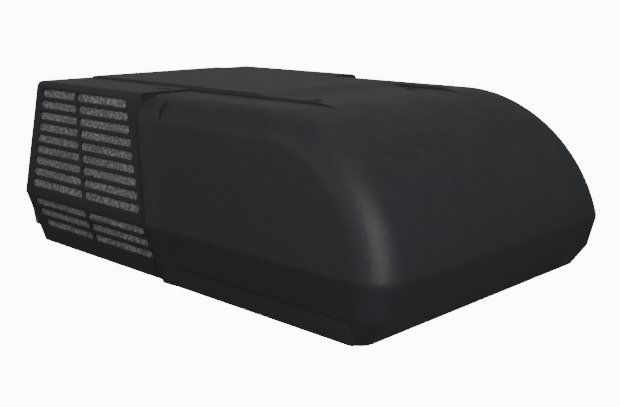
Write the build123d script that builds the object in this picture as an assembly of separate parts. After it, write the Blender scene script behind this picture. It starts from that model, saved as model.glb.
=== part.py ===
from build123d import *
import os
from math import asin, cos, degrees, radians, sin, sqrt

os.makedirs("parts", exist_ok=True)

# Rooftop air conditioner for a caravan or motorhome, modelled in millimetres.
# +X is the nose (direction of travel), +Z is up, z = 0 is the roof skin under the gasket.

# ---------------------------------------------------------------- driving sizes
LENGTH = 1034.0          # shroud over the belt line, rear to nose
HALF_WIDTH = 347.0       # front panels at the belt line
GRILLE_RECESS = 4.0      # grille panels behind the front panels
RIB = 6.0                # height of the slanted rib off the front panel
SKIRT_Z = 16.0           # lower edge of the shroud
BELT_Z = 122.0           # crease where the skirt starts to tuck under
ROOF_Z = 358.0           # top of the front body
REAR_ROOF_RISE = 4.0     # grille body roof above the front body
PLATEAU_RISE = 4.5       # raised roof panel above the grille body roof
REAR_LEAN = 18.0         # rear face, belt line to roof
REAR_TUCK = 46.0         # rear face, belt line to skirt
NOSE_TUCK = 52.0
NOSE_MID_Z = 62.0        # the nose skirt bulges: tuck and level of its middle
NOSE_MID_TUCK = 17.0
SIDE_TUCK = 15.0
SIDE_DRAFT = 0.15        # inward lean of the side walls per unit of height
NOSE_R = 294.0           # arc of the nose in side view
RIDGE_R = 60.0           # roll from the side walls into roof and nose
SKIRT_R = 28.0           # plan radius of the nose corners at the skirt edge
BELT_R = 22.0            # softness of the belt crease
REAR_R = 14.0            # rolls of the grille body
WALL = 3.5

SPLIT_X = -51.0          # step between grille body and front body, at SPLIT_REF_Z
SPLIT_REF_Z = 124.0
SPLIT_SLOPE = -0.27
RIB_CREST = 24.0
RIB_SLOPE = 36.0

PLATEAU_BACK = 42.0      # plateau ahead of the rear face
PLATEAU_GAP = 158.0      # from the start of its front ramp to the nose arc
PLATEAU_RAMP = 75.0
PLATEAU_INSET = 163.0    # plateau inside the grille panels
STRAKE_RUN = 48.0        # the plateau's edges run on as low strakes, this far down the nose
STRAKE_W = 9.0
STRAKE_RISE = 5.0

SLOT_H = 16.5            # upper louvre slots
SLOT_LOW_H = 15.0        # slots under the belt line
SLOT_R = 6.0
SLOT_TOP_DROP = 23.5     # top row below the grille body roof
SLOT_PITCH = 24.1
UPPER_ROWS = 9
LOW_SLOT_DROP = 16.5     # first low row below the belt line
LOW_PITCH = 22.3
LOWER_ROWS = 3
MULLION = 8.0
SLOT_MARGIN = 35.0       # side slots ahead of the rear face
MULLION_X = -274.0       # mullion and front ends of the side slots at SPLIT_REF_Z
SLOT_END_X = -80.0
MULLION_SLOPE = -0.28
SLOT_END_SLOPE = -0.36
LIP = 4.0                # sill under each rear slot
SCREEN_T = 1.5           # lattice bonded behind the slots
SCREEN_BAR = 3.0
SCREEN_PITCH = 23.0
SCREEN_BANDS = 4
SCREEN_FOOT = 30.0       # lattice above the skirt edge
SCREEN_DROP = 14.5       # lattice below the grille body roof

POCKET_R = 13.0          # recessed screw pockets in the shroud roof
POCKET_WALL = 3.5
POCKET_DEPTH = 29.0      # underside of a pocket below the grille body roof
SHROUD_SEAT_GAP = 0.5    # shroud above its brackets
FIT_CLEAR = 0.05         # screw in clip nut, shaft in bearing
SCREW_R = 3.0
SCREW_HOLE_R = 3.6
REAR_SCREW_X = -150.0
REAR_SCREW_INSET = 75.0  # inside the top edge of the bulkhead
FRONT_SCREW = (185.0, 140.0)

GASKET_T = 16.0
GASKET_X = 190.0         # centre of the roof opening
GASKET_OUT = 406.0
GASKET_IN = 356.0
PAN_GAP = 6.0            # base pan inside the skirt
PAN_T = 1.5
PAN_RIM = 20.0
BOLT_DX = 280.0
BOLT_DY = 304.0
BOLT_HOLE_R = 3.5
NUT_BORE_R = 3.2

SHAFT_DROP = 138.0       # motor, fan and blower share this axis along X, below the housing top
SHAFT_R = 6.35
FAN_R = 125.0
RING_R = 131.0
WHEEL_R = 95.0
BULKHEAD_BACK = 3.8      # bulkhead behind the top of the step in the shroud
SEAL_W = 7.0             # foam round the bulkhead
SEAL_GAP = 2.0           # foam inside the shroud, so that the shroud lifts past it
COIL_GAP = 4.5           # coil inside the rim of the pan
COIL_T = 40.0
COIL_DROP = 11.0         # coil top below the pocket undersides
HOUSING_X0 = 22.0
HOUSING_X1 = 385.0
HOUSING_HALF = 215.0
HOUSING_DROP = 15.0      # housing top below the pocket undersides
SHEET = 2.0
MOTOR_R = 68.0
MOTOR_X0 = -75.0
MOTOR_X1 = 12.0
COMP_X = -300.0
COMP_Y = -150.0
COMP_R = 66.0

# ---------------------------------------------------------------- sizes that follow
GRILLE_HALF = HALF_WIDTH - GRILLE_RECESS
REAR_ROOF_Z = ROOF_Z + REAR_ROOF_RISE
PLATEAU_Z = REAR_ROOF_Z + PLATEAU_RISE
PLATEAU_HALF = GRILLE_HALF - PLATEAU_INSET
NOSE_Z = ROOF_Z - NOSE_R
NOSE_X = LENGTH / 2 - sqrt(NOSE_R ** 2 - (BELT_Z - NOSE_Z) ** 2)
PLATEAU_X0 = -LENGTH / 2 + PLATEAU_BACK
PLATEAU_X1 = NOSE_X - PLATEAU_GAP
POCKET_Z = REAR_ROOF_Z - POCKET_DEPTH
FLOOR_Z = GASKET_T + PAN_T
SKIRT_INSIDE = GRILLE_HALF - SIDE_TUCK - WALL
PAN_HALF = SKIRT_INSIDE - PAN_GAP
PAN_X0 = -LENGTH / 2 + REAR_TUCK + WALL + PAN_GAP
PAN_X1 = LENGTH / 2 - NOSE_TUCK - WALL - PAN_GAP
PAN_RIM_Z = GASKET_T + PAN_RIM
COIL_TOP = POCKET_Z - COIL_DROP
COIL_X0 = PAN_X0 + PAN_T + COIL_GAP
HOUSING_TOP = POCKET_Z - HOUSING_DROP
AXIS_Z = HOUSING_TOP - SHAFT_DROP
SIDES = (-1, 1)


def wall_inside(z):
    """Half width free inside the grille body, also while the shroud lifts past."""
    return min(SKIRT_INSIDE, GRILLE_HALF - WALL - SIDE_DRAFT * max(z - BELT_Z, 0))


SHEET_HALF_TOP = wall_inside(COIL_TOP + 3) - SEAL_W - SEAL_GAP
REAR_SCREW = (REAR_SCREW_X, SHEET_HALF_TOP - REAR_SCREW_INSET)
BULKHEAD_X = SPLIT_X + SPLIT_SLOPE * (ROOF_Z - SPLIT_REF_Z) - BULKHEAD_BACK
COIL_HALF = SHEET_HALF_TOP - 4


# ---------------------------------------------------------------- helpers
def block(x0, x1, y0, y1, z0, z1):
    return Pos((x0 + x1) / 2, (y0 + y1) / 2, (z0 + z1) / 2) * Box(x1 - x0, y1 - y0, z1 - z0)


def rod(x0, x1, y, z, r):
    """Cylinder lying along X."""
    return Pos((x0 + x1) / 2, y, z) * Rot(0, 90, 0) * Cylinder(r, x1 - x0)


def post(x, y, z0, z1, r):
    """Cylinder standing along Z."""
    return Pos(x, y, (z0 + z1) / 2) * Cylinder(r, z1 - z0)


def hexagon(x, y, z0, z1, across):
    face = Pos(x, y, z0) * RegularPolygon(across / 2, 6, major_radius=False)
    return extrude(face, amount=z1 - z0)


def pipe(r, bend, *points):
    """Round tube following straight runs joined by bends."""
    path = FilletPolyline(*points, radius=bend)
    return sweep(Plane(origin=path @ 0, z_dir=path % 0) * Circle(r), path=path)


def side_prism(points, y0, y1):
    """Prism along Y from an outline given as (x, z)."""
    face = Plane.XZ * make_face(Polyline(*points, close=True))
    return Pos(0, y1, 0) * extrude(face, amount=y1 - y0)


def cross_prism(points, x0, x1):
    """Prism along X from an outline given as (y, z)."""
    face = Plane.YZ * make_face(Polyline(*points, close=True))
    return Pos(x0, 0, 0) * extrude(face, amount=x1 - x0)


def save(name, *pieces):
    solids = [s for piece in pieces for s in piece.solids()]
    shape = solids[0] if len(solids) == 1 else Compound(solids)
    export_step(shape, f"parts/{name}.step")


# ---------------------------------------------------------------- shroud
def split_x(z):
    return SPLIT_X + SPLIT_SLOPE * (z - SPLIT_REF_Z)


def ahead_of_split(shift):
    low, high = -50.0, 450.0
    return side_prism([(split_x(low) + shift, low), (900, low), (900, high),
                       (split_x(high) + shift, high)], -500, 500)


def upper_body(half, roof, t):
    """Body above the belt line, inset by t, before any edge is rolled; and its foremost x."""
    r = roof - NOSE_Z - t
    start = degrees(asin((BELT_Z - NOSE_Z) / r))
    arc = CenterArc((NOSE_X, NOSE_Z), r, start, 90 - start)
    line = Polyline(arc @ 1, (-LENGTH / 2 + REAR_LEAN + t, roof - t), (-LENGTH / 2 + t, BELT_Z), arc @ 0)
    top_half = half - t - SIDE_DRAFT * (roof - t - BELT_Z)
    body = extrude(Plane.XZ * make_face([arc, line]), amount=500, both=True)
    body &= cross_prism([(-half + t, BELT_Z), (half - t, BELT_Z), (top_half, roof - t),
                         (-top_half, roof - t)], -700, 700)
    return body, (arc @ 0).X


def add_skirt(body, half, front_x, t, corner_r):
    """Blend from the belt outline down to the smaller outline at the skirt edge."""
    x0 = -LENGTH / 2 + t + REAR_TUCK
    x1 = front_x - NOSE_TUCK
    base = Plane.XY.offset(SKIRT_Z) * Pos((x0 + x1) / 2, 0) * Rectangle(x1 - x0, 2 * (half - t - SIDE_TUCK))
    belt = body.faces().sort_by(Axis.Z)[0]
    if not corner_r:
        return body + loft([base.faces()[0], belt], ruled=True)
    base = fillet([v for v in base.vertices() if v.X > 0], corner_r)
    share = (BELT_Z - NOSE_MID_Z) / (BELT_Z - SKIRT_Z)
    x0 = -LENGTH / 2 + t + REAR_TUCK * share
    x1 = front_x - NOSE_MID_TUCK
    mid_half = half - t - SIDE_TUCK * share
    middle = Plane.XY.offset(NOSE_MID_Z) * Pos((x0 + x1) / 2, 0) * Rectangle(x1 - x0, 2 * mid_half)
    middle = fillet([v for v in middle.vertices() if v.X > 0], corner_r * 1.5)
    return body + loft([base.faces()[0], middle.faces()[0], belt], ruled=True)


def soften_belt(body, t):
    """Rounds the belt crease, leaving the edge at the very back alone."""
    crease = []
    for edge in body.edges():
        box = edge.bounding_box()
        level = abs(box.max.Z - BELT_Z) < 0.5 and abs(box.min.Z - BELT_Z) < 0.5
        if level and (box.max.X - box.min.X > 1 or box.min.X > 0):
            crease.append(edge)
    return fillet(crease, BELT_R - t)


def front_body(t, extra=0.0):
    half = HALF_WIDTH + extra
    body, front_x = upper_body(half, ROOF_Z, t)
    rolls = []
    for edge in body.edges():
        c = edge.center(CenterOf.MASS)
        nose_corner = c.X > 250 and c.Z > BELT_Z + 2
        roof_edge = abs(c.Z - (ROOF_Z - t)) < 1
        if abs(c.Y) > 250 and (nose_corner or roof_edge):
            rolls.append(edge)
    return soften_belt(add_skirt(fillet(rolls, RIDGE_R - t), half, front_x, t, SKIRT_R - t), t)


def rear_body(t):
    body, front_x = upper_body(GRILLE_HALF, REAR_ROOF_Z, t)
    body = add_skirt(body, GRILLE_HALF, front_x, t, 0) - ahead_of_split(60)
    rolls = []
    for edge in body.edges():
        c = edge.center(CenterOf.MASS)
        at_rear = c.X < -LENGTH / 2 + REAR_TUCK + t + 5
        upright = at_rear and abs(c.Y) > 250 and edge.bounding_box().size.Z > 1
        roof_edge = abs(c.Z - (REAR_ROOF_Z - t)) < 1 and (abs(c.Y) > 250 or at_rear)
        if upright or roof_edge:
            rolls.append(edge)
    return fillet(rolls, REAR_R - t)


def rib():
    """Slanted rib ahead of the grille, one on each side, from skirt to roof."""
    def outline(z, half):
        x = split_x(z)
        return Plane.XY.offset(z) * make_face(Polyline(
            (x, half - 20), (x, half + RIB), (x + RIB_CREST, half + RIB),
            (x + RIB_CREST + RIB_SLOPE, half), (x + RIB_CREST + RIB_SLOPE, half - 20), close=True))
    top_half = HALF_WIDTH - SIDE_DRAFT * (ROOF_Z - BELT_Z)
    upper = loft([outline(BELT_Z, HALF_WIDTH), outline(ROOF_Z, top_half)], ruled=True)
    lower = loft([outline(SKIRT_Z, HALF_WIDTH - SIDE_TUCK), outline(BELT_Z, HALF_WIDTH)], ruled=True)
    one = (upper + lower) & front_body(0, RIB)
    return one + mirror(one, Plane.XZ)


def ledge():
    """Flange along the bottom of each front panel."""
    return front_body(0, RIB / 2) & block(-20, 450, -400, 400, SKIRT_Z, 52)


def plateau(t):
    """Raised panel on the roof: flat, with a front ramp and chamfered sides."""
    top = PLATEAU_Z - t
    base = REAR_ROOF_Z - 12
    end = PLATEAU_X1 + PLATEAU_RAMP - t
    body = side_prism([(PLATEAU_X0 + t, base), (PLATEAU_X0 + 8 + t, top), (PLATEAU_X1, top),
                       (end, ROOF_Z - 2 - t), (end, base)], -PLATEAU_HALF - 5 + t, PLATEAU_HALF + 5 - t)
    rims = [e for e in body.edges() if abs(e.center().Z - top) < 0.5 and abs(e.center().Y) > 100]
    return chamfer(rims, 5)


def strakes():
    """Two low ridges that carry the plateau's edges on towards the nose."""
    end_z = NOSE_Z + sqrt(NOSE_R ** 2 - STRAKE_RUN ** 2)
    one = side_prism([(PLATEAU_X1 - 10, ROOF_Z - 3), (PLATEAU_X1 - 10, ROOF_Z + STRAKE_RISE),
                      (NOSE_X, ROOF_Z + STRAKE_RISE), (NOSE_X + STRAKE_RUN, end_z), (NOSE_X, ROOF_Z - 3)],
                     PLATEAU_HALF - 4, PLATEAU_HALF - 4 + STRAKE_W)
    rims = [e for e in one.edges() if e.bounding_box().min.Z > ROOF_Z + STRAKE_RISE - 0.5 and e.length > 50]
    one = chamfer(rims, 3)
    return one + mirror(one, Plane.XZ)


def slot_rows():
    upper = [(REAR_ROOF_Z - SLOT_TOP_DROP - i * SLOT_PITCH, SLOT_H) for i in range(UPPER_ROWS)]
    lower = [(BELT_Z - LOW_SLOT_DROP - i * LOW_PITCH, SLOT_LOW_H) for i in range(LOWER_ROWS)]
    return upper + lower


def rear_face_x(z):
    if z > BELT_Z:
        return -LENGTH / 2 + REAR_LEAN * (z - BELT_Z) / (REAR_ROOF_Z - BELT_Z)
    return -LENGTH / 2 + REAR_TUCK * (BELT_Z - z) / (BELT_Z - SKIRT_Z)


def side_slots():
    cuts = []
    for z, height in slot_rows():
        middle = MULLION_X + MULLION_SLOPE * (z - SPLIT_REF_Z)
        start = rear_face_x(z) + SLOT_MARGIN + 0.2 * max(BELT_Z - z, 0)
        ends = [(start, middle - MULLION / 2),
                (middle + MULLION / 2, SLOT_END_X + SLOT_END_SLOPE * (z - SPLIT_REF_Z))]
        for x0, x1 in ends:
            face = Plane.XZ * Pos((x0 + x1) / 2, z) * RectangleRounded(x1 - x0, height, SLOT_R)
            cuts.append(extrude(face, amount=400, both=True))
    return cuts


def rear_slots():
    cuts = []
    columns = 4
    for z, height in slot_rows():
        half = GRILLE_HALF - SIDE_DRAFT * max(z - BELT_Z, 0) - 30
        width = (2 * half - (columns - 1) * MULLION) / columns
        for i in range(columns):
            y = -half + width / 2 + i * (width + MULLION)
            face = Plane.YZ * Pos(y, z) * RectangleRounded(width, height, SLOT_R)
            cuts.append(Pos(-560, 0, 0) * extrude(face, amount=120))
    return cuts


def rear_lips():
    lips = []
    for z, height in slot_rows():
        sill = z - height / 2
        x = rear_face_x(sill)
        half = GRILLE_HALF - SIDE_DRAFT * max(z - BELT_Z, 0) - 28
        lips.append(side_prism([(x - LIP, sill), (x + 1.5, sill), (rear_face_x(sill - 8) + 1.5, sill - 8)],
                               -half, half))
    return lips


def make_louvre_screen():
    """Lattice bonded to the inside of the grille walls, behind the slots."""
    z0, z1 = SKIRT_Z + SCREEN_FOOT, REAR_ROOF_Z - SCREEN_DROP
    shell = rear_body(WALL) - rear_body(WALL + SCREEN_T)
    reach = SLOT_END_X + 7 - SLOT_END_SLOPE * SPLIT_REF_Z
    shell &= side_prism([(-600, z0), (reach + SLOT_END_SLOPE * z0, z0),
                         (reach + SLOT_END_SLOPE * z1, z1), (-600, z1)], -500, 500)
    band = (z1 - z0) / SCREEN_BANDS
    window = SCREEN_PITCH - SCREEN_BAR
    cuts = []
    for i in range(SCREEN_BANDS):
        z = z0 + (i + 0.5) * band
        height = band - 2 * SCREEN_BAR
        front = reach + SLOT_END_SLOPE * (z + height / 2) - 6
        back = rear_face_x(z) + 30
        for j in range(int((front - back) / SCREEN_PITCH)):
            x = back + j * SCREEN_PITCH
            cuts.append(block(x, x + window, -400, 400, z - height / 2, z + height / 2))
        side_count = int((wall_inside(z) - 20) / SCREEN_PITCH)
        for j in range(-side_count, side_count):
            y = j * SCREEN_PITCH + SCREEN_BAR / 2
            cuts.append(block(-600, -400, y, y + window, z - height / 2, z + height / 2))
    save("louvre_screen", shell - cuts)


SCREW_XY = [(x, side * y) for x, y in (REAR_SCREW, FRONT_SCREW) for side in SIDES]


def make_shroud():
    outer = (rear_body(0) - ahead_of_split(0)) + (front_body(0) & ahead_of_split(0))
    outer = outer + rib() + ledge() + plateau(0) + strakes() + rear_lips()
    rear_hollow, front_hollow = rear_body(WALL), front_body(WALL)
    inner = (rear_hollow - ahead_of_split(-WALL)) + (front_hollow & ahead_of_split(WALL))
    inner += (rear_hollow & front_hollow) & (ahead_of_split(-WALL) - ahead_of_split(WALL))
    inner += block(PAN_X0, PAN_X1, -SKIRT_INSIDE + 15, SKIRT_INSIDE - 15, SKIRT_Z - 5, SKIRT_Z + 5)
    inner += plateau(WALL)
    for x, y in SCREW_XY:
        inner -= post(x, y, POCKET_Z, PLATEAU_Z, POCKET_R + POCKET_WALL)
    shell = outer - inner
    floor = POCKET_Z + POCKET_WALL
    for x, y in SCREW_XY:
        shell -= post(x, y, floor, PLATEAU_Z + 10, POCKET_R)
        shell -= post(x, y, POCKET_Z - 5, floor + 5, SCREW_HOLE_R)
    return shell - side_slots() - rear_slots()


def make_shroud_fixings():
    seat = POCKET_Z + POCKET_WALL
    washers = [post(x, y, seat, seat + 1.6, 10) - post(x, y, seat - 1, seat + 3, SCREW_HOLE_R)
               for x, y in SCREW_XY]
    screws = [hexagon(x, y, seat + 1.6, seat + 6.6, 10) + post(x, y, POCKET_Z - 11, seat + 1.6, SCREW_R)
              for x, y in SCREW_XY]
    save("shroud_washers", *washers)
    save("shroud_screws", *screws)


def make_brackets():
    plate_z = POCKET_Z - SHROUD_SEAT_GAP
    rear, front, nuts = [], [], []
    for x, y in SCREW_XY:
        bore = post(x, y, plate_z - 20, plate_z + 10, SCREW_HOLE_R)
        if x < 0:
            leg = block(BULKHEAD_X - 2, BULKHEAD_X, y - 20, y + 20, plate_z - 34, plate_z)
            rear.append(leg + block(x - 18, BULKHEAD_X, y - 20, y + 20, plate_z - 2, plate_z) - bore)
        else:
            top = block(x - 15, x + 15, y - 14, y + 14, plate_z - 2, plate_z)
            riser = block(x - 15, x - 13, y - 14, y + 14, HOUSING_TOP, plate_z)
            foot = block(x - 38, x - 13, y - 14, y + 14, HOUSING_TOP, HOUSING_TOP + 2)
            front.append(top + riser + foot - bore)
        nut = block(x - 8, x + 8, y - 8, y + 8, plate_z - 6, plate_z - 2)
        nuts.append(nut - post(x, y, plate_z - 20, plate_z + 10, SCREW_R + FIT_CLEAR))
    save("rear_shroud_brackets", *rear)
    save("front_shroud_brackets", *front)
    save("clip_nuts", *nuts)


# ---------------------------------------------------------------- base
RETURN_X = (262.0, 360.0)
RETURN_HALF = 125.0
SUPPLY_X = (44.0, 136.0)
SUPPLY_Y = (30.0, 138.0)
SOCKET = (165.0, 158.0)
ROOF_BOLTS = [(GASKET_X + sx * BOLT_DX / 2, sy * BOLT_DY / 2) for sx in SIDES for sy in SIDES]
FOOT_XY = [(-400.0, side * 220.0) for side in SIDES]


def make_base():
    x0, x1 = GASKET_X - GASKET_OUT / 2, GASKET_X + GASKET_OUT / 2
    u0, u1 = GASKET_X - GASKET_IN / 2, GASKET_X + GASKET_IN / 2
    gasket = block(x0, x1, -GASKET_OUT / 2, GASKET_OUT / 2, 0, GASKET_T)
    gasket -= block(u0, u1, -GASKET_IN / 2, GASKET_IN / 2, -1, GASKET_T + 1)
    save("roof_gasket", fillet(gasket.edges().filter_by(Axis.Z).group_by(SortBy.LENGTH)[0], 8))
    save("rear_support_pads", *[block(x - 25, x + 25, y - 60, y + 60, 0, GASKET_T) for x, y in FOOT_XY])
    pan = block(PAN_X0, PAN_X1, -PAN_HALF, PAN_HALF, GASKET_T, PAN_RIM_Z)
    pan = fillet(pan.edges().filter_by(Axis.Z), 30)
    inside = block(PAN_X0 + PAN_T, PAN_X1 - PAN_T, -PAN_HALF + PAN_T, PAN_HALF - PAN_T, FLOOR_Z,
                   PAN_RIM_Z + 1)
    pan -= fillet(inside.edges().filter_by(Axis.Z), 30 - PAN_T)
    above = FLOOR_Z + 2
    pan -= block(RETURN_X[0], RETURN_X[1], -RETURN_HALF, RETURN_HALF, 0, above)
    pan -= block(SUPPLY_X[0], SUPPLY_X[1], SUPPLY_Y[0], SUPPLY_Y[1], 0, above)
    pan -= block(SOCKET[0] - 12, SOCKET[0] + 12, SOCKET[1] - 12, SOCKET[1] + 12, 0, above)
    for x, y in ROOF_BOLTS:
        pan -= post(x, y, 0, above, BOLT_HOLE_R)
    for side in SIDES:
        pan -= post(PAN_X0 + 21.5, side * (PAN_HALF - 33), 0, above, 8)
    save("base_pan", pan)
    nuts = [hexagon(x, y, FLOOR_Z, FLOOR_Z + 6, 13) - post(x, y, 0, 30, NUT_BORE_R) for x, y in ROOF_BOLTS]
    save("roof_weld_nuts", *nuts)
    socket = block(SOCKET[0] - 16, SOCKET[0] + 16, SOCKET[1] - 16, SOCKET[1] + 16, FLOOR_Z, FLOOR_Z + 14)
    socket += block(SOCKET[0] - 11.5, SOCKET[0] + 11.5, SOCKET[1] - 11.5, SOCKET[1] + 11.5, 6, FLOOR_Z)
    for i in (-1, 0, 1):
        socket -= block(SOCKET[0] - 1, SOCKET[0] + 1, SOCKET[1] + i * 7 - 2.5, SOCKET[1] + i * 7 + 2.5, 5, 16)
    save("power_socket", socket)


# ---------------------------------------------------------------- condenser side
LINE_R = 6.0
SUCTION_YZ = (-198.0, 230.0)
LIQUID_YZ = (200.0, 265.0)
LIQUID_R = 4.0
LEAD_YZ = (190.0, 90.0)
LEAD_R = 4.0
GROMMET = 5.0


def bulkhead_outline(grow):
    """Outline of the bulkhead sheet as (y, z); grown by the foam's width for the seal."""
    low = SKIRT_INSIDE - SEAL_W - SEAL_GAP
    half = [(low - 9, FLOOR_Z), (low - 9, 40), (low, 60), (low, BELT_Z), (SHEET_HALF_TOP, COIL_TOP + 3),
            (SHEET_HALF_TOP - 35, COIL_TOP + 18)]
    points = [(y + grow, z + (grow if z > COIL_TOP else 0)) for y, z in half]
    if grow:
        points = points[1:]
    return points + [(-y, z) for y, z in reversed(points)]


def make_condenser():
    def plan(inset, r):
        body = block(COIL_X0 + inset, 200, -COIL_HALF + inset, COIL_HALF - inset, FLOOR_Z, COIL_TOP)
        return fillet([e for e in body.edges().filter_by(Axis.Z) if e.center().X < 0], r)
    front = BULKHEAD_X - 2
    coil = plan(0, 70) - plan(COIL_T, 70 - COIL_T) - block(front, 300, -400, 400, 0, 400)
    save("condenser_coil", coil)
    plates = [block(front, BULKHEAD_X, *sorted((s * (COIL_HALF - COIL_T - 3), s * (COIL_HALF + 1.5))),
                    FLOOR_Z, COIL_TOP + 2) for s in SIDES]
    save("condenser_end_plates", *plates)
    outline = bulkhead_outline(0)
    sheet = cross_prism(outline, BULKHEAD_X, BULKHEAD_X + PAN_T)
    foot = block(BULKHEAD_X, BULKHEAD_X + 20, -300, 300, FLOOR_Z, FLOOR_Z + PAN_T)
    sheet += foot
    sheet -= rod(-200, 0, 0, AXIS_Z, RING_R + 2)
    for (y, z), r in ((SUCTION_YZ, LINE_R), (LIQUID_YZ, LIQUID_R), (LEAD_YZ, LEAD_R)):
        sheet -= rod(-200, 0, y, z, r + GROMMET)
    save("fan_bulkhead", sheet)
    seal = cross_prism(bulkhead_outline(SEAL_W), BULKHEAD_X - 5, BULKHEAD_X + 7)
    seal -= cross_prism(outline, BULKHEAD_X - 6, BULKHEAD_X + 8)
    save("bulkhead_seal", seal)
    ring = rod(-160, BULKHEAD_X, 0, AXIS_Z, RING_R + 2) - rod(-170, 0, 0, AXIS_Z, RING_R)
    lip = rod(BULKHEAD_X + PAN_T, BULKHEAD_X + 4, 0, AXIS_Z, RING_R + 14)
    ring += rod(BULKHEAD_X, BULKHEAD_X + 4, 0, AXIS_Z, RING_R + 2) + lip - rod(-170, 0, 0, AXIS_Z, RING_R)
    save("fan_ring", ring)
    screws = [post(BULKHEAD_X + 11, y, FLOOR_Z + PAN_T, FLOOR_Z + PAN_T + 4, 4)
              for y in (-280, -170, 170, 280)]
    save("bulkhead_screws", *screws)


def grommet(x0, x1, y, z, r):
    rim = rod(x0 - 2, x1 + 2, y, z, r + GROMMET + 2) - rod(x0, x1, y, z, 40)
    return rim + rod(x0, x1, y, z, r + GROMMET) - rod(x0 - 5, x1 + 5, y, z, r)


def make_compressor():
    foot_r = 88.0
    spots = [(COMP_X + foot_r * cos(radians(a)), COMP_Y + foot_r * sin(radians(a))) for a in (90, 210, 330)]
    shell = post(COMP_X, COMP_Y, 33, 245, COMP_R)
    shell = fillet(shell.edges().group_by(Axis.Z)[-1], 40)
    shell = fillet(shell.edges().group_by(Axis.Z)[0], 10)
    seam = post(COMP_X, COMP_Y, 118, 122, COMP_R + 2.5)
    save("compressor", shell + seam)
    plate = Pos(COMP_X, COMP_Y, 30) * Rot(0, 0, 90) * RegularPolygon(62, 3, major_radius=False)
    plate = extrude(plate, amount=3)
    plate = fillet(plate.edges().filter_by(Axis.Z), 18)
    for x, y in spots:
        plate -= post(x, y, 20, 40, 7)
    save("compressor_foot_plate", plate)
    grommets, studs = [], []
    for x, y in spots:
        rubber = post(x, y, FLOOR_Z, 30, 12) + post(x, y, 30, 33, 7) + post(x, y, 33, 36, 11)
        grommets.append(rubber - post(x, y, 0, 50, 4))
        studs.append(post(x, y, FLOOR_Z, 42, 3) + hexagon(x, y, 36, 41, 11))
    save("compressor_grommets", *grommets)
    save("compressor_studs", *studs)
    cover = block(COMP_X - 24, COMP_X + 24, COMP_Y, COMP_Y + COMP_R + 18, 140, 205)
    cover = fillet(cover.edges().filter_by(Axis.Y), 8) - post(COMP_X, COMP_Y, 100, 300, COMP_R)
    save("terminal_cover", cover)
    return shell + seam


ACC_X = -205.0
ACC_Y = SUCTION_YZ[0]
ACC_R = 28.0
ACC_Z = (80.0, 205.0)
DROP_Z = 62.0


def make_lines(shell):
    can = fillet(post(ACC_X, ACC_Y, ACC_Z[0], ACC_Z[1], ACC_R).edges().filter_by(GeomType.CIRCLE), 12)
    save("accumulator", can)
    evap_x = 228.0
    suction = pipe(LINE_R, 10, (evap_x, -EVAP_HALF - 1.5, SUCTION_YZ[1]), (evap_x, ACC_Y, SUCTION_YZ[1]),
                   (ACC_X, ACC_Y, SUCTION_YZ[1]), (ACC_X, ACC_Y, ACC_Z[1]))
    toward = Vector(COMP_X - ACC_X, COMP_Y - ACC_Y, 0).normalized()
    end = Vector(ACC_X, ACC_Y, DROP_Z) + toward * 60
    drop = pipe(LINE_R, 9, (ACC_X, ACC_Y, ACC_Z[0]), (ACC_X, ACC_Y, DROP_Z), (end.X, end.Y, DROP_Z)) - shell
    save("suction_line", suction, drop)
    inner = COIL_HALF - COIL_T
    discharge = pipe(5, 22, (COMP_X + 20, COMP_Y, 240), (COMP_X + 20, COMP_Y, 285), (ACC_X, COMP_Y, 285),
                     (ACC_X, -inner, 285)) - shell
    save("discharge_line", discharge)
    y, z = LIQUID_YZ
    rear_leg = pipe(LIQUID_R, 20, (-180, inner, z), (-180, y, z), (-95, y, z))
    drier = fillet(rod(-95, -15, y, z, 12).edges().filter_by(GeomType.CIRCLE), 4)
    front_leg = pipe(LIQUID_R, 8, (-15, y, z), (evap_x, y, z), (evap_x, EVAP_HALF + 1.5, z))
    save("filter_drier", drier)
    save("liquid_line", rear_leg, front_leg)
    plug = [grommet(BULKHEAD_X, BULKHEAD_X + PAN_T, *SUCTION_YZ, LINE_R),
            grommet(BULKHEAD_X, BULKHEAD_X + PAN_T, *LIQUID_YZ, LIQUID_R),
            grommet(BULKHEAD_X, BULKHEAD_X + PAN_T, *LEAD_YZ, LEAD_R),
            grommet(HOUSING_X0, HOUSING_X0 + SHEET, *SUCTION_YZ, LINE_R),
            grommet(HOUSING_X0, HOUSING_X0 + SHEET, *LIQUID_YZ, LIQUID_R),
            grommet(HOUSING_X0, HOUSING_X0 + SHEET, *CONDUIT_YZ, LEAD_R)]
    save("line_grommets", *plug)


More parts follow.
